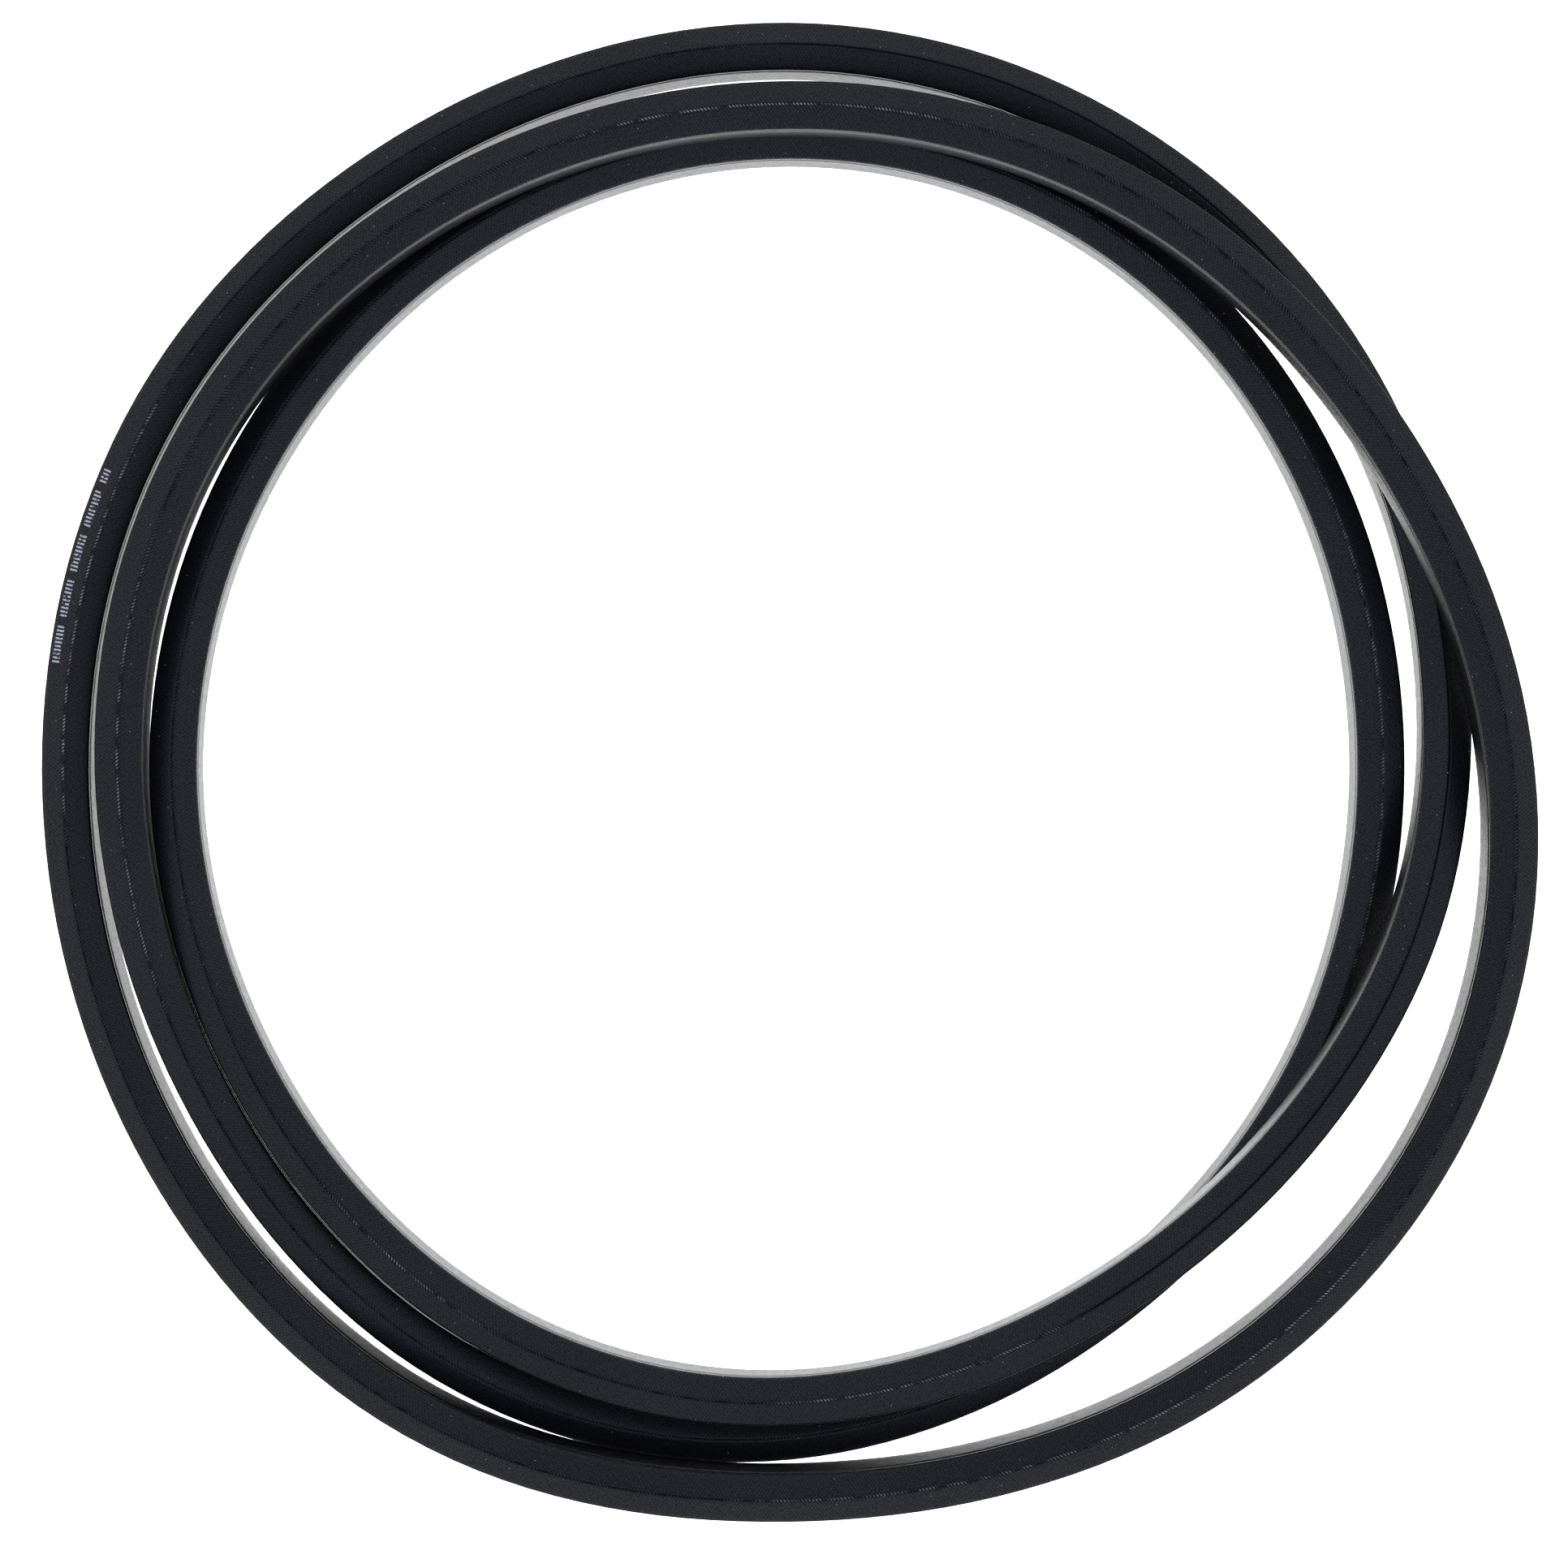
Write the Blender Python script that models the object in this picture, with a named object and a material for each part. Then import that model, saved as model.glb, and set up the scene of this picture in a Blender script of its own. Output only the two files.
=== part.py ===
"""Hexagonal (double-V) drive belt, laid flat in three coils.

Run with: blender --background --python part.py
Metres, +Z up. The coiled belt lies on z = 0, with the middle of its outline at x = y = 0.
Seen from above, the belt runs clockwise from +Y and closes on itself after three turns.
"""

import math

import bpy
import numpy as np
from mathutils import Matrix, Vector

MM = 0.001

# Section of the belt. It lies on one ridge, so its width stands upright.
BELT_WIDTH = 16.7 * MM  # over the two ridges
BELT_THICKNESS = 13.1 * MM  # over the two narrow flats
FLANK_ANGLE = math.radians(20)  # between a flank and the middle plane of its pulley groove
RIDGE_FLAT = 1.2 * MM  # the blunt strip along each ridge

# Build-up, from the outside in.
PLY_THICKNESS = 0.6 * MM
LAYER_GAP = 0.3 * MM
SEAM_GAP = 0.3 * MM
SEAM_SKIVE = 0.4 * MM  # how far a lap runs sideways through its ply
OUTER_SEAM_HEIGHT = 5.1 * MM
INNER_SEAM_HEIGHT = -2.0 * MM
CORD_DIAMETER = 1.0 * MM
CORD_PITCH = 1.6 * MM
CORD_WINDINGS = 7
GUM_THICKNESS = 0.8 * MM

# The lay: radius of the belt's centre line at equal steps round the three turns.
TURNS = 3
STATION_STEP = 30
STATION_RADII = [
    196.5, 192.5, 185.5, 177.5, 168, 164.5, 168.5, 169.5, 166.5, 167, 168, 170.5,
    172.5, 170.5, 164.5, 160.5, 163, 169.5, 180.5, 184.5, 180.5, 180.5, 181.5, 179,
    178, 179.5, 182.5, 192.5, 199.5, 198, 194.5, 199.5, 198, 196, 197.5, 196,
]  # fmt: skip

# Each ramp runs from one angle to another and ends at the last value.
LIFT_RAMPS = [
    (77, 110, 17.3),
    (148, 290, 0.0),
    (555, 700, 15.8),
    (730, 780, 17.3),
    (811, 864, 13.0),
    (915, 965, 0.0),
]
START_LEAN = 3.0
LEAN_RAMPS = [
    (50, 80, 0.0),
    (150, 200, 2.0),
    (240, 262, 0.0),
    (282, 310, 2.0),
    (380, 420, 3.0),
    (480, 540, 0.0),
    (780, 840, 5.0),
    (960, 1040, START_LEAN),
]
STEPS_PER_TURN = 30

INNER_PLY_INSET = PLY_THICKNESS + LAYER_GAP
CORE_INSET = 2 * INNER_PLY_INSET
GUM_NEAR = CORD_DIAMETER / 2 + LAYER_GAP
GUM_FAR = GUM_NEAR + GUM_THICKNESS
CUSHION_NEAR = GUM_FAR + LAYER_GAP


def clear_scene():
    for old in list(bpy.data.objects):
        bpy.data.objects.remove(old, do_unlink=True)


def new_collection(name, hidden=False):
    collection = bpy.data.collections.new(name)
    bpy.context.scene.collection.children.link(collection)
    collection.hide_render = hidden
    return collection


def new_material(name, colour, roughness):
    material = bpy.data.materials.new(name)
    material.use_nodes = True
    shader = material.node_tree.nodes["Principled BSDF"]
    shader.inputs["Base Color"].default_value = (*colour, 1.0)
    shader.inputs["Roughness"].default_value = roughness
    shader.inputs["Metallic"].default_value = 0.0
    material.diffuse_color = (*colour, 1.0)
    return material


# --- the lay of the belt ---


def closed_slopes(values):
    """Slopes that make one smooth closed cubic curve through evenly spaced values."""
    count = len(values)
    matrix = np.zeros((count, count))
    for i in range(count):
        matrix[i, i] = 4
        matrix[i, i - 1] = 1
        matrix[i, (i + 1) % count] = 1
    return np.linalg.solve(matrix, 3 * (np.roll(values, -1) - np.roll(values, 1)))


RADII = np.array(STATION_RADII)
SLOPES = closed_slopes(RADII)


def radius_at(angle):
    """Radius in mm at an angle in degrees, from 0 to TURNS * 360."""
    place = angle / STATION_STEP % len(RADII)
    i = int(place)
    t = place - i
    j = (i + 1) % len(RADII)
    return (
        (1 + 2 * t) * (1 - t) ** 2 * RADII[i]
        + t * (1 - t) ** 2 * SLOPES[i]
        + t * t * (3 - 2 * t) * RADII[j]
        + t * t * (t - 1) * SLOPES[j]
    )


def ramped(ramps, angle, start):
    """Value at an angle that eases from one level to the next along each ramp."""
    value = level = start
    for begin, end, target in ramps:
        t = min(max((angle - begin) / (end - begin), 0), 1)
        value += (target - level) * t * t * (3 - 2 * t)
        level = target
    return value


def lean_at(angle):
    """How far the upper ridge leans away from the coil's middle."""
    return math.radians(ramped(LEAN_RAMPS, angle % (360 * TURNS), START_LEAN))


def centre_at(angle):
    """The belt's centre at an angle, before the lay is centred on the origin."""
    angle %= 360 * TURNS
    turn = math.radians(angle)
    lean = lean_at(angle)
    radius = radius_at(angle) * MM
    resting = BELT_WIDTH / 2 * math.cos(lean) + RIDGE_FLAT / 2 * math.sin(lean)
    height = resting + ramped(LIFT_RAMPS, angle, 0.0) * MM
    return Vector((radius * math.sin(turn), radius * math.cos(turn), height))


def section_at(angle):
    """Centre of the section, and its directions away from the coil's middle and up."""
    step = 360 / STEPS_PER_TURN
    here = centre_at(angle)
    before = (here - centre_at(angle - step)).normalized()
    after = (centre_at(angle + step) - here).normalized()
    along = (before + after).normalized()
    outward = Vector((-along.y, along.x, 0)).normalized()
    up = along.cross(outward)
    lean = lean_at(angle)
    turn = Matrix.Rotation(-lean, 3, along)
    return here, turn @ outward, turn @ up, lean


def angles_round(turns):
    return [i * 360 / STEPS_PER_TURN for i in range(turns * STEPS_PER_TURN)]


def outline_middle():
    """Middle of the coil's outline, which is put on the origin."""
    points = []
    for angle in angles_round(TURNS):
        here, outward, up, _ = section_at(angle)
        for side in (-1, 1):
            points.append(here + outward * BELT_THICKNESS / 2 + up * side * flat_half_height(0))
    spans = np.array(points)
    middle = (spans.max(axis=0) + spans.min(axis=0)) / 2
    return Vector((middle[0], middle[1], 0))


# --- outlines of the section: x away from the coil's middle, y up ---


def flank_height(x, inset=0.0):
    """Height of the flank at a distance x from the neutral plane, inset square to the surface."""
    peak = BELT_WIDTH / 2 + RIDGE_FLAT / 2 * math.tan(FLANK_ANGLE)
    return peak - inset / math.cos(FLANK_ANGLE) - abs(x) * math.tan(FLANK_ANGLE)


def flat_half_height(inset):
    return flank_height(BELT_THICKNESS / 2 - inset, inset)


def ridge_half_flat(inset):
    """Half width of the ridge strip once its top has moved in by the inset."""
    return (flank_height(0, inset) - (BELT_WIDTH / 2 - inset)) / math.tan(FLANK_ANGLE)


def half_section(inset):
    """Outline of one side of the belt, from its lower ridge round the flat to its upper ridge."""
    flat = BELT_THICKNESS / 2 - inset
    shoulder = flat_half_height(inset)
    ridge = ridge_half_flat(inset)
    top = BELT_WIDTH / 2 - inset
    return [(ridge, -top), (flat, -shoulder), (flat, shoulder), (ridge, top)]


def wrap_outline(inset, side, seam_height):
    """A ply wrapped right round the section, with a skived lap on the flat at this side."""

    def turned(points):
        return [(x * side, y * side) for x, y in points]

    seam = seam_height * side
    outer = half_section(inset)
    inner = half_section(inset + PLY_THICKNESS)
    far_outer = [(-x, -y) for x, y in outer]
    far_inner = [(-x, -y) for x, y in inner]
    outer_x, inner_x = outer[1][0], inner[1][0]
    skive = SEAM_SKIVE
    out = [(outer_x, seam + SEAM_GAP), *outer[2:], *far_outer, *outer[:2], (outer_x, seam)]
    back = [
        (inner_x, seam - skive),
        *reversed(inner[:2]),
        *reversed(far_inner),
        *reversed(inner[2:]),
        (inner_x, seam + SEAM_GAP - skive),
    ]
    return turned(out + back)


def slab_outline(near, far):
    """A layer that fills the core between two distances from the neutral plane."""
    corners = [(near, -1), (far, -1), (far, 1), (near, 1)]
    return [(x, side * flank_height(x, CORE_INSET)) for x, side in corners]


def cord_outline():
    half = CORD_DIAMETER / 2
    return [(-half, 0), (0, -half), (half, 0), (0, half)]


# --- curve objects ---


def new_curve(name, points, cyclic):
    curve = bpy.data.curves.new(name, "CURVE")
    curve.dimensions = "3D"
    spline = curve.splines.new("POLY")
    spline.points.add(len(points) - 1)
    for point, place in zip(spline.points, points):
        point.co = (*place, 1.0)
    spline.use_cyclic_u = cyclic
    return curve


def new_profile(name, outline, helpers):
    """A sweep along a clockwise path turns a profile's x towards the middle, so x is mirrored."""
    curve = new_curve(name, [(-x, y, 0.0) for x, y in outline], True)
    profile = bpy.data.objects.new(name, curve)
    profile.hide_render = True
    profile.display_type = "WIRE"
    helpers.objects.link(profile)
    return profile


def sweep(name, stations, cyclic, profile, material, parts):
    """One solid: the profile carried along the stations, which are places and leans."""
    curve = new_curve(name, [place for place, lean in stations], cyclic)
    for point, (_, lean) in zip(curve.splines[0].points, stations):
        point.tilt = -lean
    curve.twist_mode = "Z_UP"
    curve.bevel_mode = "OBJECT"
    curve.bevel_object = profile
    curve.use_fill_caps = not cyclic
    curve.materials.append(material)
    obj = bpy.data.objects.new(name, curve)
    parts.objects.link(obj)
    return obj


def belt_stations(middle):
    stations = []
    for angle in angles_round(TURNS):
        here, _, _, lean = section_at(angle)
        stations.append((here - middle, lean))
    return stations


def cord_stations(middle):
    """The tension cord winds on round the loop, one pitch further across on each lap."""
    stations = []
    laps = CORD_WINDINGS * TURNS
    span = CORD_WINDINGS * CORD_PITCH
    for i, angle in enumerate(angles_round(laps)):
        here, _, up, lean = section_at(angle)
        across = span * (i / (laps * STEPS_PER_TURN) - 0.5)
        stations.append((here + up * across - middle, lean))
    return stations


def main():
    clear_scene()
    parts = new_collection("hexagonal_drive_belt")
    helpers = new_collection("helpers", hidden=True)
    middle = outline_middle()
    around = belt_stations(middle)
    fabric = new_material("rubberised_fabric", (0.012, 0.013, 0.017), 0.62)
    inner_fabric = new_material("inner_rubberised_fabric", (0.018, 0.018, 0.020), 0.7)
    cushion = new_material("cushion_rubber", (0.010, 0.010, 0.011), 0.55)
    gum = new_material("adhesion_gum", (0.030, 0.026, 0.022), 0.5)
    polyester = new_material("polyester_cord", (0.42, 0.36, 0.26), 0.6)
    layers = [
        ("fabric_outer_ply", wrap_outline(0, -1, OUTER_SEAM_HEIGHT), fabric),
        ("fabric_inner_ply", wrap_outline(INNER_PLY_INSET, 1, INNER_SEAM_HEIGHT), inner_fabric),
        ("outer_cushion_rubber", slab_outline(CUSHION_NEAR, BELT_THICKNESS / 2 - CORE_INSET), cushion),
        ("inner_cushion_rubber", slab_outline(CORE_INSET - BELT_THICKNESS / 2, -CUSHION_NEAR), cushion),
        ("outer_adhesion_gum", slab_outline(GUM_NEAR, GUM_FAR), gum),
        ("inner_adhesion_gum", slab_outline(-GUM_FAR, -GUM_NEAR), gum),
    ]
    for name, outline, material in layers:
        profile = new_profile(name + "_profile", outline, helpers)
        sweep(name, around, True, profile, material, parts)
    profile = new_profile("tension_cord_profile", cord_outline(), helpers)
    sweep("tension_cord", cord_stations(middle), False, profile, polyester, parts)


main()
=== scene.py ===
import math

import bmesh
import bpy
import numpy as np
from mathutils import Matrix, Vector, noise


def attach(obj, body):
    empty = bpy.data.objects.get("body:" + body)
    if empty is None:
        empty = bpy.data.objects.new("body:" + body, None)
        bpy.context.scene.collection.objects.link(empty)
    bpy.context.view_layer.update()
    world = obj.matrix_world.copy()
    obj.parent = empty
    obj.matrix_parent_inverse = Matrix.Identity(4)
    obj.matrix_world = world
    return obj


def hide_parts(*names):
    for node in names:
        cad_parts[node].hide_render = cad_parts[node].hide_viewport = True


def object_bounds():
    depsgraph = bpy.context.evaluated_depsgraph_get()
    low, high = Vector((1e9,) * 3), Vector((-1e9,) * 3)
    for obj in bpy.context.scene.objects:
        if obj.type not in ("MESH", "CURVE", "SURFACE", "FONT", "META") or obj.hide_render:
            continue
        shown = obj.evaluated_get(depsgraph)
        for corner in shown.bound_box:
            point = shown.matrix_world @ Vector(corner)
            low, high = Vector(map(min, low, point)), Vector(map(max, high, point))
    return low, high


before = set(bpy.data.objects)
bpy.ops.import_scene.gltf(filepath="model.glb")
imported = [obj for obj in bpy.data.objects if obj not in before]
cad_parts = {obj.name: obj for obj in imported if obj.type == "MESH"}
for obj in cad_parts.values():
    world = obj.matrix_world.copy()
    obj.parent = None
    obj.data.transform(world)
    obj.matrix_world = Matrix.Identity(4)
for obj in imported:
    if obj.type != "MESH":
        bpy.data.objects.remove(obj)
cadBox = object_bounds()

print("frame loaded, box", [tuple(round(c, 4) for c in corner) for corner in cadBox])

# how the belt lies: three turns, clockwise from +Y as seen from above

lay = {
    "turns": 3,
    "stationStep": 30,  # degrees between the radii below
    "radii": [  # mm
        196.5, 192.5, 185.5, 177.5, 168, 164.5, 168.5, 169.5, 166.5, 167, 168, 170.5,
        172.5, 170.5, 164.5, 160.5, 163, 169.5, 180.5, 184.5, 180.5, 180.5, 181.5, 179,
        178, 179.5, 182.5, 192.5, 199.5, 198, 194.5, 199.5, 198, 196, 197.5, 196,
    ],
    "lifts": [  # from this angle, to this angle, up to this height in mm
        (77, 110, 17.3), (148, 290, 0.0), (555, 700, 15.8), (730, 780, 17.3),
        (811, 864, 13.0), (915, 965, 0.0),
    ],
    "startLean": 3.0,
    "leans": [  # degrees that the upper ridge leans outward
        (50, 80, 0.0), (150, 200, 2.0), (240, 262, 0.0), (282, 310, 2.0),
        (380, 420, 3.0), (480, 540, 0.0), (780, 840, 5.0), (960, 1040, 3.0),
    ],
}

section = {
    "width": 16.7,  # mm, ridge to ridge
    "thickness": 13.1,  # mm, flat to flat
    "flankAngle": math.radians(20),
    "ridgeFlat": 1.2,
    "ply": 0.6,  # one wrap of rubbered fabric
    "gap": 0.3,
    "cord": 1.0,
    "cordPitch": 1.6,
    "cordWindings": 7,
    "gum": 0.8,
}
mm = 0.001


def closedSlopes(values):  # slopes of the smooth closed cubic through evenly spaced values
    count = len(values)
    matrix = np.zeros((count, count))
    for i in range(count):
        matrix[i, i] = 4
        matrix[i, i - 1] = matrix[i, (i + 1) % count] = 1
    return np.linalg.solve(matrix, 3 * (np.roll(values, -1) - np.roll(values, 1)))


radii = np.array(lay["radii"])
slopes = closedSlopes(radii)
fullTurn = 360 * lay["turns"]


def radiusAt(angle):
    place = angle / lay["stationStep"] % len(radii)
    i = int(place)
    j = (i + 1) % len(radii)
    t = place - i
    ends = (1 + 2 * t) * (1 - t) ** 2 * radii[i] + t * t * (3 - 2 * t) * radii[j]
    return ends + t * (1 - t) ** 2 * slopes[i] + t * t * (t - 1) * slopes[j]


def ramped(ramps, angle, start):  # eases from one level to the next along each ramp
    value = level = start
    for begin, end, target in ramps:
        t = min(max((angle - begin) / (end - begin), 0), 1)
        value += (target - level) * t * t * (3 - 2 * t)
        level = target
    return value


def centreAt(angle):
    angle %= fullTurn
    turn = math.radians(angle)
    lean = math.radians(ramped(lay["leans"], angle, lay["startLean"]))
    resting = section["width"] / 2 * math.cos(lean) + section["ridgeFlat"] / 2 * math.sin(lean)
    height = resting + ramped(lay["lifts"], angle, 0.0)
    radius = radiusAt(angle)
    return Vector((radius * math.sin(turn), radius * math.cos(turn), height)) * mm


def sectionAt(angle):  # a matrix: x away from the coil's middle, y up, z against the run
    reach = 0.5  # degrees either side
    along = (centreAt(angle + reach) - centreAt(angle - reach)).normalized()
    outward = Vector((-along.y, along.x, 0)).normalized()
    up = along.cross(outward)
    lean = math.radians(ramped(lay["leans"], angle % fullTurn, lay["startLean"]))
    turn = Matrix.Rotation(-lean, 3, along)
    matrix = Matrix((turn @ outward, turn @ up, -along)).transposed().to_4x4()
    matrix.translation = centreAt(angle)
    return matrix


def makeStations(step):
    angles = [i * step for i in range(round(fullTurn / step))]
    matrices = [sectionAt(a) for a in angles]
    half = section["thickness"] / 2 * mm
    edges = np.array([m @ Vector((half, 0, 0)) for m in matrices])
    middle = [(edges[:, k].max() + edges[:, k].min()) / 2 for k in (0, 1)]
    shift = Vector(((cadBox[0][k] + cadBox[1][k]) / 2 - middle[k] for k in (0, 1)))
    for m in matrices:
        m.translation.xy += shift
    return angles, matrices


angles, matrices = makeStations(2)
points = [m.translation.copy() for m in matrices]
gaps = [(points[(i + 1) % len(points)] - p).length for i, p in enumerate(points)]
beltLength = sum(gaps)
distances = [sum(gaps[:i]) for i in range(len(gaps))]
print("belt length", round(beltLength, 4), "m")


def drift(along, size, seed):  # slow random wander that closes on itself, -1 to 1
    turn = math.tau * along / beltLength
    reach = beltLength / math.tau / size
    return noise.noise(Vector((math.cos(turn) * reach, math.sin(turn) * reach, seed)))


# outlines of the section in mm: x away from the coil's middle, y up


def flankHeight(x, inset=0.0):
    tan = math.tan(section["flankAngle"])
    peak = section["width"] / 2 + section["ridgeFlat"] / 2 * tan
    return peak - inset / math.cos(section["flankAngle"]) - abs(x) * tan


def halfSection(inset):  # lower ridge, round the outer flat, upper ridge
    flat = section["thickness"] / 2 - inset
    shoulder = flankHeight(flat, inset)
    top = section["width"] / 2 - inset
    ridge = (flankHeight(0, inset) - top) / math.tan(section["flankAngle"])
    return [(ridge, -top), (flat, -shoulder), (flat, shoulder), (ridge, top)]


def mirrored(points):
    return [(-x, -y) for x, y in points]


def slab(near, far, inset):
    corners = [(near, -1), (far, -1), (far, 1), (near, 1)]
    return [(x, side * flankHeight(x, inset)) for x, side in corners]


def makeRing(bm, slot, corners, rounds, cuts):  # the section as a wire ring, its corners rounded
    verts = [bm.verts.new((x * mm, y * mm, 0)) for x, y in corners]
    bm.faces.new(verts)
    for size, picked in rounds:
        bmesh.ops.bevel(bm, geom=[verts[i] for i in picked], offset=size * mm, offset_type="OFFSET",
                        affect="VERTICES", segments=4, profile=0.5, material=-1)
    for length, count in cuts:
        long = [e for e in bm.edges if e.calc_length() > length * mm]
        if long:
            bmesh.ops.subdivide_edges(bm, edges=long, cuts=count)
    bm.faces.ensure_lookup_table()
    ring = [loop.vert for loop in bm.faces[0].loops]
    firstCorner = Vector((*corners[0], 0)) * mm
    start = min(range(len(ring)), key=lambda i: (ring[i].co - firstCorner).length)
    ring = ring[start:] + ring[:start]
    outline = [v.co.copy() for v in ring]
    for i, v in enumerate(ring):
        v[slot] = i
    bmesh.ops.delete(bm, geom=bm.faces[:], context="FACES_KEEP_BOUNDARY")
    return outline


def sweepBelt(name, corners, rounds=(), cuts=(), spacing=1, shape=None, marks=None):
    bm = bmesh.new()
    slot = bm.verts.layers.int.new("slot")  # place in the ring
    uv = bm.loops.layers.uv.new("belt")
    layers = {}
    for key in marks or {}:
        layers[key] = bm.verts.layers.float.new(key)
    outline = makeRing(bm, slot, corners, rounds, cuts)
    around = [0.0]
    for a, b in zip(outline, outline[1:] + outline[:1]):
        around.append(around[-1] + (b - a).length)
    count = len(matrices)
    edges = bm.edges[:]
    verts = bm.verts[:]
    along = 0.0
    first = verts
    for i in range(0, count + spacing, spacing):
        if i:
            geom = bmesh.ops.extrude_edge_only(bm, edges=edges)["geom"]
            verts = [g for g in geom if isinstance(g, bmesh.types.BMVert)]
            edges = [g for g in geom if isinstance(g, bmesh.types.BMEdge) and g.is_boundary]
            faces = [g for g in geom if isinstance(g, bmesh.types.BMFace)]
        before, along = along, distances[i] if i < count else beltLength
        matrix = matrices[i % count]
        for v in verts:
            spot = outline[v[slot]]
            if shape:
                spot = spot + shape(spot / mm, along) * mm
            v.co = matrix @ spot
            for key, layer in layers.items():
                v[layer] = marks[key](outline[v[slot]] / mm, along, i)
        if i:
            old = set(verts)
            for face in faces:
                slots = [loop.vert[slot] for loop in face.loops]
                wraps = max(slots) - min(slots) > 1
                for loop, s in zip(face.loops, slots):
                    v = around[-1] if wraps and s == 0 else around[s]
                    loop[uv].uv = (along if loop.vert in old else before, v)
    bmesh.ops.remove_doubles(bm, verts=list(first) + list(verts), dist=1e-7)
    return finishMesh(name, bm)


def finishMesh(name, bm):
    bmesh.ops.recalc_face_normals(bm, faces=bm.faces[:])
    mesh = bpy.data.meshes.new(name)
    bm.to_mesh(mesh)
    bm.free()
    if "slot" in mesh.attributes:
        mesh.attributes.remove(mesh.attributes["slot"])
    mesh.shade_smooth()
    piece = bpy.data.objects.new(name, mesh)
    bpy.context.scene.collection.objects.link(piece)
    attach(piece, "root")
    return piece


# outer ply

cover = {
    "shoulderRound": 0.6,  # mm of each side taken by the rounded shoulder
    "ridgeRound": 0.25,
    "creaseDepth": 0.16,
    "creaseWidth": 0.34,
    "creaseWander": 0.3,
    "creaseWanderLength": 30,  # mm along the belt
    "waver": 0.09,  # how far the moulded faces stray
    "waverLengths": (35, 50),
    "seamHeight": 5.1,
    "seamGap": 0.12,
    "seamSkive": 0.4,
    "seamWander": 0.3,
    "seamWanderLength": 18,
    "shadeOut": 6.2,  # painted shade on the outward shoulders from here outward
    "shadeUp": 5.2,  # and from here up or down
    "bareRidge": [  # stretches where the ridge threads are rubbed bare, and how far
        (0, 10, 0.0), (150, 160, 0.7), (176, 184, 0.1), (206, 212, 0.6), (222, 230, 0.1),
        (380, 392, 0.55), (462, 474, 0.1), (608, 616, 0.8), (642, 652, 0.2), (698, 708, 0.9),
        (728, 738, 0.2), (846, 853, 0.9), (870, 876, 0.5), (898, 906, 0.1), (984, 990, 1.0),
        (1016, 1024, 0.1),
    ],
}


def coverOutline():
    outer, inner = halfSection(0), halfSection(section["ply"])
    half = cover["creaseWidth"] / 2
    top = section["width"] / 2
    crease = [(half, top), (0, top - cover["creaseDepth"]), (-half, top)]
    seam = -cover["seamHeight"]  # on the -x flat once the outline is turned round
    back = [(inner[1][0], seam - cover["seamSkive"]), *reversed(inner[:2]), *reversed(mirrored(inner)),
            *reversed(inner[2:]), (inner[1][0], seam + cover["seamGap"] - cover["seamSkive"])]
    front = [(outer[1][0], seam + cover["seamGap"]), *outer[2:], *crease, *mirrored(outer),
             *mirrored(crease), *outer[:2], (outer[1][0], seam)]
    return mirrored(front + back)


def coverShape(spot, along):  # small strays from the true section, in mm
    faceSize = 9  # mm over which the stray changes across a face
    acrossLength, upLength = cover["waverLengths"]
    x = cover["waver"] * drift(along, acrossLength * mm, spot.y / faceSize)
    y = cover["waver"] * drift(along, upLength * mm, 20 + spot.x / faceSize)
    if abs(spot.x) < cover["creaseWidth"]:
        ridgeSeed = 40 if spot.y > 0 else 41
        x += cover["creaseWander"] * drift(along, cover["creaseWanderLength"] * mm, ridgeSeed)
    if spot.x < -5.5 and abs(spot.y - cover["seamHeight"]) < 0.5:
        y += cover["seamWander"] * drift(along, cover["seamWanderLength"] * mm, 60)
    return Vector((x, y, 0))


def creaseMark(spot, along, i):  # the shut fold down the middle of each ridge, marked for rubbed-bare threads and for painted shade
    onRidge = abs(spot.y) > section["width"] / 2 - 0.35
    return 1.0 if onRidge and abs(spot.x) < cover["creaseWidth"] * 0.7 else 0.0


def shoulderShadeMark(spot, along, i):  # the outward shoulders, marked for painted shade that dims the highlight they would catch
    return 1.0 if spot.x > cover["shadeOut"] and abs(spot.y) > cover["shadeUp"] else 0.0


def bareMark(spot, along, i):
    angle = i * fullTurn / len(matrices) % fullTurn
    return ramped(cover["bareRidge"], angle, 0.0)


outerPly = sweepBelt(
    "fabric_outer_ply_wrap", coverOutline(),
    rounds=[(cover["shoulderRound"], (1, 7, 8, 14)), (cover["ridgeRound"], (2, 6, 9, 13))],
    cuts=[(5.2, 4)], shape=coverShape,
    marks={"crease": creaseMark, "bareThread": bareMark, "shadedShoulder": shoulderShadeMark},
)
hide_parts("fabric_outer_ply")
print("outer ply", len(outerPly.data.polygons), "faces")


# layers under it

innerPly = {
    "seamHeight": -2.0,  # mm, on the outward flat
    "seamGap": 0.2,
    "seamSkive": 0.4,
}
blockRound = 0.15  # mm off the corners of the rubber blocks

plyInset = section["ply"] + section["gap"]
coreInset = 2 * plyInset
gumNear = section["cord"] / 2 + section["gap"]
gumFar = gumNear + section["gum"]
cushionNear = gumFar + section["gap"]
cushionFar = section["thickness"] / 2 - coreInset


def innerPlyOutline():
    seam, gap, skive = innerPly["seamHeight"], innerPly["seamGap"], innerPly["seamSkive"]
    outer, inner = halfSection(plyInset), halfSection(plyInset + section["ply"])
    front = [(outer[1][0], seam + gap), *outer[2:], *mirrored(outer), *outer[:2], (outer[1][0], seam)]
    back = [(inner[1][0], seam - skive), *reversed(inner[:2]), *reversed(mirrored(inner)),
            *reversed(inner[2:]), (inner[1][0], seam + gap - skive)]
    return front + back


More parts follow.
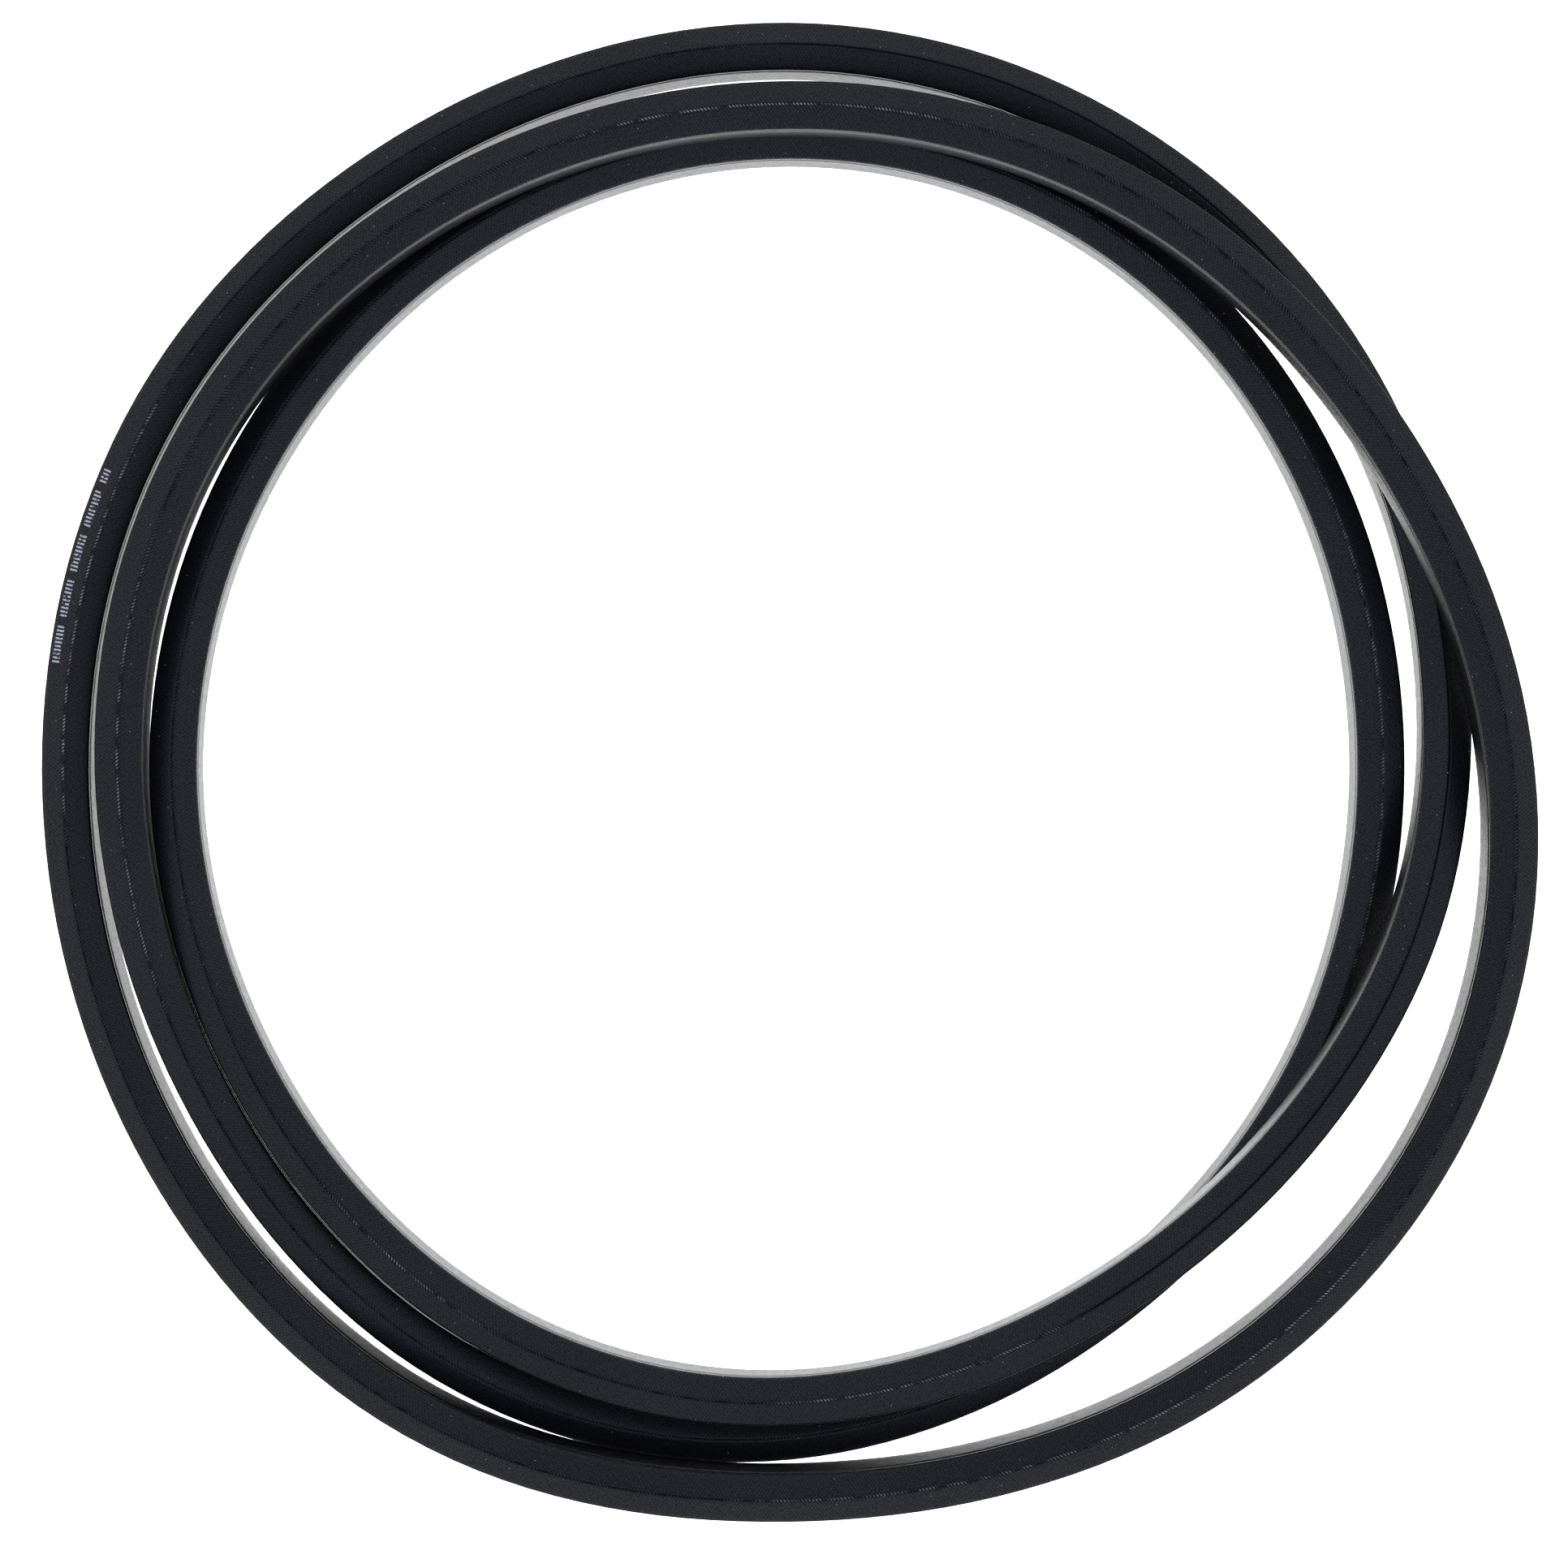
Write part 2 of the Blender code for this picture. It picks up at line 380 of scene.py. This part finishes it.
layers = [
    ("fabric_inner_ply_wrap", "fabric_inner_ply", "inner_rubberised_fabric", innerPlyOutline()),
    ("outer_cushion_block", "outer_cushion_rubber", "cushion_rubber_outer",
     slab(cushionNear, cushionFar, coreInset)),
    ("inner_cushion_block", "inner_cushion_rubber", "cushion_rubber_inner",
     slab(-cushionFar, -cushionNear, coreInset)),
    ("outer_gum_layer", "outer_adhesion_gum", "adhesion_gum_outer", slab(gumNear, gumFar, coreInset)),
    ("inner_gum_layer", "inner_adhesion_gum", "adhesion_gum_inner", slab(-gumFar, -gumNear, coreInset)),
]
inside = {}
for name, node, slotName, outline in layers:
    everyCorner = tuple(range(len(outline)))
    rounds = [(blockRound, everyCorner)] if len(outline) == 4 else []
    piece = sweepBelt(name, outline, rounds=rounds, spacing=2)
    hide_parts(node)
    inside[node] = piece
print("inner layers", len(inside))


def makeCord():  # winds on round the loop, one pitch further across on each lap
    bm = bmesh.new()
    uv = bm.loops.layers.uv.new("belt")
    windings = section["cordWindings"]
    bmesh.ops.create_circle(bm, segments=6, radius=section["cord"] / 2 * mm)
    edges, verts, along = bm.edges[:], bm.verts[:], 0.0
    circle = {v: v.co.copy() for v in verts}
    steps = windings * len(matrices) // 3
    span = windings * section["cordPitch"] * mm
    for i in range(steps + 1):
        if i:
            geom = bmesh.ops.extrude_edge_only(bm, edges=edges)["geom"]
            fresh = [g for g in geom if isinstance(g, bmesh.types.BMVert)]
            edges = [g for g in geom if isinstance(g, bmesh.types.BMEdge)]
            edges = [e for e in edges if not any(v in circle for v in e.verts)]
            circle = {v: circle[next(e.other_vert(v) for e in v.link_edges if e.other_vert(v) in circle)]
                      for v in fresh}
        across = span * (i / steps - 0.5)
        matrix = matrices[3 * i % len(matrices)]
        for v, spot in circle.items():
            v.co = matrix @ (spot + Vector((0, across, 0)))
    bmesh.ops.holes_fill(bm, edges=[e for e in bm.edges if e.is_boundary])
    return finishMesh("tension_cord_winding", bm)


cord = makeCord()
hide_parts("tension_cord")
inside["tension_cord"] = cord
print("tension cord", len(cord.data.polygons), "faces")


# materials


def colour(text):  # sRGB hex to a linear colour
    parts = [int(text[i:i + 2], 16) / 255 for i in (1, 3, 5)]
    return [c / 12.92 if c <= 0.04045 else ((c + 0.055) / 1.055) ** 2.4 for c in parts] + [1.0]


def addNode(tree, kind, settings=None, inputs=None):  # an input is a value or another node's output
    node = tree.nodes.new(kind)
    for key, value in (settings or {}).items():
        setattr(node, key, value)
    for socket, value in (inputs or {}).items():
        if isinstance(value, bpy.types.NodeSocket):
            tree.links.new(value, node.inputs[socket])
        else:
            node.inputs[socket].default_value = value
    return node


def newMaterial(name, values):
    material = bpy.data.materials.new(name)
    material.use_nodes = True
    tree = material.node_tree
    shader = tree.nodes["Principled BSDF"]
    for socket, value in values.items():
        shader.inputs[socket].default_value = value
    return material, tree, shader


fabric = {
    "knuckle": 0.95,  # mm between thread crossings, measured along the belt
    "threadAngle": 57,  # degrees between the threads and the belt's run
    "dark": "#0d0e11",
    "light": "#191a1e",
    "bare": "#c9c8c4",
    "lint": "#b9bbbd",
    "ink": "#dfe6ee",
    "inkFrom": 998,  # degrees along the lay
    "inkTo": 1014,
    "inkMiddle": 2.0,  # mm in from the shoulder
    "inkHeight": 2.3,
    "tickPitch": 1.03,
    "ticksInGroup": 10,
    "ticksBetween": 2,  # left out between groups
    # noise scales, features to the metre
    "patchScale": 25,
    "grainScale": 650,
    "crownScale": 1400,
    "wornInkScale": 900,
    "bareRunScale": 230,
    "lintScale": 160,
}


def beltAt(angle):  # distance along the belt at an angle of the lay
    return float(np.interp(angle, angles, distances))


# what a math node does
times, plus, timesPlus, over, fraction, near, below, above, larger = (
    {"operation": operation} for operation in (
        "MULTIPLY", "ADD", "MULTIPLY_ADD", "DIVIDE", "FRACT",
        "COMPARE", "LESS_THAN", "GREATER_THAN", "MAXIMUM")
)
flatNoise = {"noise_dimensions": "2D"}
colours = {"data_type": "RGBA"}


def printedTicks(tree, belt):  # plain white ticks in groups, on the outward upper flank
    parts = addNode(tree, "ShaderNodeSeparateXYZ", inputs={0: belt})
    along, around = parts.outputs[0], parts.outputs[1]
    start, end = beltAt(fabric["inkFrom"]), beltAt(fabric["inkTo"])
    pitch = fabric["tickPitch"] * mm
    spread = fabric["ticksInGroup"] + fabric["ticksBetween"]
    flat = 2 * flankHeight(section["thickness"] / 2)
    flank = (section["thickness"] - section["ridgeFlat"]) / 2 / math.cos(section["flankAngle"])
    shoulder = cover["seamHeight"] + flat / 2 + flank + section["ridgeFlat"] + flank + flat
    middle = (shoulder + fabric["inkMiddle"]) * mm
    inRun = addNode(tree, "ShaderNodeMath", near, {0: along, 1: (start + end) / 2, 2: (end - start) / 2})
    inBand = addNode(tree, "ShaderNodeMath", near, {0: around, 1: middle, 2: fabric["inkHeight"] / 2 * mm})
    tickPlace = addNode(tree, "ShaderNodeMath", over, {0: along, 1: pitch})
    tickPart = addNode(tree, "ShaderNodeMath", fraction, {0: tickPlace.outputs[0]})
    ticks = addNode(tree, "ShaderNodeMath", below, {0: tickPart.outputs[0], 1: 0.5})
    groupPlace = addNode(tree, "ShaderNodeMath", over, {0: along, 1: pitch * spread})
    groupPart = addNode(tree, "ShaderNodeMath", fraction, {0: groupPlace.outputs[0]})
    inGroup = addNode(tree, "ShaderNodeMath", below,
                      {0: groupPart.outputs[0], 1: fabric["ticksInGroup"] / spread})
    worn = addNode(tree, "ShaderNodeTexNoise", flatNoise,
                   {"Scale": fabric["wornInkScale"], "Detail": 2, "Vector": belt})
    ink = addNode(tree, "ShaderNodeMapRange", inputs={0: worn.outputs["Fac"], 1: 0.34, 2: 0.46})
    for mask in (inRun, inBand, ticks, inGroup):
        ink = addNode(tree, "ShaderNodeMath", times, {0: ink.outputs[0], 1: mask.outputs[0]})
    return ink.outputs[0]


# cotton-polyester wrap rubbed full of chloroprene: matt charcoal with a faint diagonal weave
def frictionedFabric():
    material, tree, shader = newMaterial("frictioned_wrap_fabric", {"IOR": 1.52})
    knuckle = beltLength / round(beltLength / (fabric["knuckle"] * mm))
    angle = math.radians(fabric["threadAngle"])
    thread = knuckle * math.sin(angle)
    waveScale = math.pi / 10 / thread  # a wave texture's period is pi / 10 at scale 1
    belt = addNode(tree, "ShaderNodeUVMap", {"uv_map": "belt"}).outputs["UV"]
    place = addNode(tree, "ShaderNodeTexCoord").outputs["Object"]
    threads = []
    for side in (1, -1):
        turned = addNode(tree, "ShaderNodeMapping",
                         inputs={"Rotation": (0, 0, side * (math.pi / 2 - angle)), "Vector": belt})
        threads.append(addNode(tree, "ShaderNodeTexWave", {"bands_direction": "X"},
                               {"Scale": waveScale, "Distortion": 0.5, "Detail": 1, "Detail Scale": 0.4,
                                "Vector": turned.outputs[0]}).outputs["Fac"])
    weave = addNode(tree, "ShaderNodeMath", times, {0: threads[0], 1: threads[1]}).outputs[0]

    # calender marks and handling, 40 mm patches
    patches = addNode(tree, "ShaderNodeTexNoise",
                      inputs={"Scale": fabric["patchScale"], "Detail": 4, "Vector": place})
    # rubber skin between the threads, 1.5 mm grain
    grain = addNode(tree, "ShaderNodeTexNoise",
                    inputs={"Scale": fabric["grainScale"], "Detail": 3, "Roughness": 0.6, "Vector": place})
    grainy = grain.outputs["Fac"]
    lighter = addNode(tree, "ShaderNodeMapRange", inputs={0: patches.outputs["Fac"], 1: 0.3, 2: 0.7})
    base = addNode(tree, "ShaderNodeMix", colours, {
        "Factor": lighter.outputs[0], "A": colour(fabric["dark"]), "B": colour(fabric["light"])})
    # rubber squeezed up between the threads stays darker than the knuckles
    lift = addNode(tree, "ShaderNodeMapRange", inputs={0: weave, 1: 0, 2: 1, 3: 0.7, 4: 1.6})
    base = addNode(tree, "ShaderNodeVectorMath", {"operation": "SCALE"},
                   {0: base.outputs["Result"], "Scale": lift.outputs[0]}).outputs[0]

    crease = addNode(tree, "ShaderNodeAttribute", {"attribute_name": "crease"}).outputs["Fac"]
    bare = addNode(tree, "ShaderNodeAttribute", {"attribute_name": "bareThread"}).outputs["Fac"]
    shoulderShade = addNode(tree, "ShaderNodeAttribute", {"attribute_name": "shadedShoulder"}).outputs["Fac"]
    # threads rubbed bare on the ridge, in runs of a few millimetres
    runs = addNode(tree, "ShaderNodeTexNoise", flatNoise,
                   {"Scale": fabric["bareRunScale"], "Detail": 2, "Vector": belt})
    inRuns = addNode(tree, "ShaderNodeMapRange", inputs={0: runs.outputs["Fac"], 1: 0.36, 2: 0.6})
    onThread = addNode(tree, "ShaderNodeMapRange", inputs={0: threads[0], 1: 0.4, 2: 0.8})
    rubbed = addNode(tree, "ShaderNodeMath", times, {0: crease, 1: bare})
    for mask in (inRuns, onThread):
        rubbed = addNode(tree, "ShaderNodeMath", times, {0: rubbed.outputs[0], 1: mask.outputs[0]})
    # lint, specks of about 0.2 mm, one in a few square centimetres
    specks = addNode(tree, "ShaderNodeTexVoronoi", {"voronoi_dimensions": "2D"},
                     {"Scale": fabric["lintScale"], "Vector": belt})
    pick = addNode(tree, "ShaderNodeSeparateColor", inputs={0: specks.outputs["Color"]}).outputs[0]
    inSpeck = addNode(tree, "ShaderNodeMath", below, {0: specks.outputs["Distance"], 1: 0.02})
    picked = addNode(tree, "ShaderNodeMath", above, {0: pick, 1: 0.82})
    lint = addNode(tree, "ShaderNodeMath", times, {0: inSpeck.outputs[0], 1: picked.outputs[0]})
    for mask, text in ((rubbed.outputs[0], fabric["bare"]), (lint.outputs[0], fabric["lint"]),
                       (printedTicks(tree, belt), fabric["ink"])):
        base = addNode(tree, "ShaderNodeMix", colours,
                       {"Factor": mask, "A": base, "B": colour(text)}).outputs["Result"]
    tree.links.new(base, shader.inputs["Base Color"])

    # painted shade: the specular level is cut down in the shut fold along the ridge and on the outward
    # shoulders
    covered = addNode(tree, "ShaderNodeMath", timesPlus, {0: bare, 1: -0.9, 2: 1.0})
    paintedShade = addNode(tree, "ShaderNodeMath", times, {0: crease, 1: covered.outputs[0]})
    paintedShade = addNode(tree, "ShaderNodeMath", larger, {0: paintedShade.outputs[0], 1: shoulderShade})
    unshaded = addNode(tree, "ShaderNodeMath", timesPlus, {0: paintedShade.outputs[0], 1: -0.92, 2: 1.0})
    # thread crowns stand out of the rubber unevenly, 0.7 mm specks
    crowns = addNode(tree, "ShaderNodeTexNoise", flatNoise,
                     {"Scale": fabric["crownScale"], "Detail": 2, "Vector": belt}).outputs["Fac"]
    knuckles = addNode(tree, "ShaderNodeMath", times, {0: weave, 1: crowns})
    crowned = addNode(tree, "ShaderNodeMath", plus, {0: knuckles.outputs[0], 1: crowns})
    shine = addNode(tree, "ShaderNodeMapRange",
                    inputs={0: crowned.outputs[0], 1: 0.3, 2: 1.0, 3: 0.3, 4: 0.7})
    crownGlossAndShade = addNode(tree, "ShaderNodeMath", times, {0: shine.outputs[0], 1: unshaded.outputs[0]})
    # Specular IOR Level: the uneven thread-crown gloss times the painted shade of the ridge fold and the
    # outward shoulders
    tree.links.new(crownGlossAndShade.outputs[0], shader.inputs["Specular IOR Level"])
    rough = addNode(tree, "ShaderNodeMapRange", inputs={0: grainy, 1: 0.3, 2: 0.7, 3: 0.33, 4: 0.43})
    tree.links.new(rough.outputs[0], shader.inputs["Roughness"])
    woven = addNode(tree, "ShaderNodeMath", timesPlus, {0: weave, 1: 0.4, 2: grainy})
    height = addNode(tree, "ShaderNodeMath", plus, {0: woven.outputs[0], 1: crowns})
    bump = addNode(tree, "ShaderNodeBump",
                   inputs={"Strength": 0.7, "Distance": 0.00008, "Height": height.outputs[0]})
    tree.links.new(bump.outputs[0], shader.inputs["Normal"])
    return material


# calendered stock, never on show unless the belt is cut
def plainRubber(name, text, grainSize, roughness):
    material, tree, shader = newMaterial(name, {"IOR": 1.52, "Roughness": roughness})
    place = addNode(tree, "ShaderNodeTexCoord").outputs["Object"]
    grain = addNode(tree, "ShaderNodeTexNoise",
                    inputs={"Scale": 1 / (grainSize * mm), "Detail": 3, "Vector": place}).outputs["Fac"]
    bright = addNode(tree, "ShaderNodeMapRange", inputs={0: grain, 3: 0.8, 4: 1.2})
    tint = addNode(tree, "ShaderNodeVectorMath", {"operation": "SCALE"},
                   {0: colour(text)[:3], "Scale": bright.outputs[0]})
    tree.links.new(tint.outputs[0], shader.inputs["Base Color"])
    bump = addNode(tree, "ShaderNodeBump", inputs={"Strength": 0.4, "Distance": 0.00005, "Height": grain})
    tree.links.new(bump.outputs[0], shader.inputs["Normal"])
    return material


def setMaterial(piece, material):
    piece.data.materials.clear()
    piece.data.materials.append(material)


setMaterial(outerPly, frictionedFabric())
setMaterial(inside["fabric_inner_ply"], plainRubber("frictioned_ply_inner", "#1d1d20", 0.9, 0.7))
setMaterial(inside["outer_cushion_rubber"], plainRubber("neoprene_cushion_outer", "#18181a", 1.2, 0.55))
setMaterial(inside["inner_cushion_rubber"], plainRubber("neoprene_cushion_inner", "#18181a", 1.2, 0.55))
setMaterial(inside["outer_adhesion_gum"], plainRubber("adhesion_gum_outer", "#2e2a26", 1.0, 0.5))
setMaterial(inside["inner_adhesion_gum"], plainRubber("adhesion_gum_inner", "#2e2a26", 1.0, 0.5))
setMaterial(cord, plainRubber("dipped_polyester_cord", "#ac9f88", 0.3, 0.6))
print("materials set")


# studio

studio = {
    "floorSize": 3.0,  # m
    "floorDrop": 0.0002,  # m under the belt
    "floorColour": "#f4f4f4",
    "floorRoughness": 0.6,
    "floorGlow": 2.1,  # the white table is lit from below
    "tent": [  # sine of the elevation, and the light there: bright walls, a dim cool top
        (0.30, (0.43, 0.43, 0.44)),
        (0.87, (0.49, 0.52, 0.68)),
        (1.00, (0.12, 0.12, 0.15)),
    ],
    "cameraHeight": 1.05,
    "cameraOffset": -0.0045,
    "lens": 87.6,
    "sensor": 36,
}


def makeFloor():
    bm = bmesh.new()
    bmesh.ops.create_grid(bm, x_segments=1, y_segments=1, size=studio["floorSize"] / 2)
    mesh = bpy.data.meshes.new("studio_table")
    bm.to_mesh(mesh)
    bm.free()
    floor = bpy.data.objects.new("studio_table", mesh)
    floor.location.z = -studio["floorDrop"]
    bpy.context.scene.collection.objects.link(floor)
    material, tree, shader = newMaterial("white_acrylic_table", {
        "Base Color": colour(studio["floorColour"]), "Roughness": studio["floorRoughness"],
        "Emission Color": (1, 1, 1, 1), "Emission Strength": studio["floorGlow"]})
    floor.data.materials.append(material)


def makeWorld():
    world = bpy.data.worlds.new("light_tent")
    bpy.context.scene.world = world
    world.use_nodes = True
    tree = world.node_tree
    way = addNode(tree, "ShaderNodeTexCoord")
    parts = addNode(tree, "ShaderNodeSeparateXYZ", inputs={0: way.outputs["Generated"]})
    ramp = addNode(tree, "ShaderNodeValToRGB", inputs={0: parts.outputs["Z"]})
    ramp.color_ramp.interpolation = "EASE"
    ramp.color_ramp.elements.new(0.5)
    for element, (height, light) in zip(ramp.color_ramp.elements, studio["tent"]):
        element.position = height
        element.color = (*light, 1)
    back = tree.nodes["Background"]
    tree.links.new(ramp.outputs[0], back.inputs["Color"])


def makeCamera():
    data = bpy.data.cameras.new("camera")
    data.lens = studio["lens"]
    data.sensor_width = studio["sensor"]
    camera = bpy.data.objects.new("camera", data)
    camera.location = (0, studio["cameraOffset"], studio["cameraHeight"])
    bpy.context.scene.collection.objects.link(camera)
    bpy.context.scene.camera = camera


makeFloor()
makeWorld()
makeCamera()
bpy.context.scene.view_settings.view_transform = "Standard"
print("studio ready")
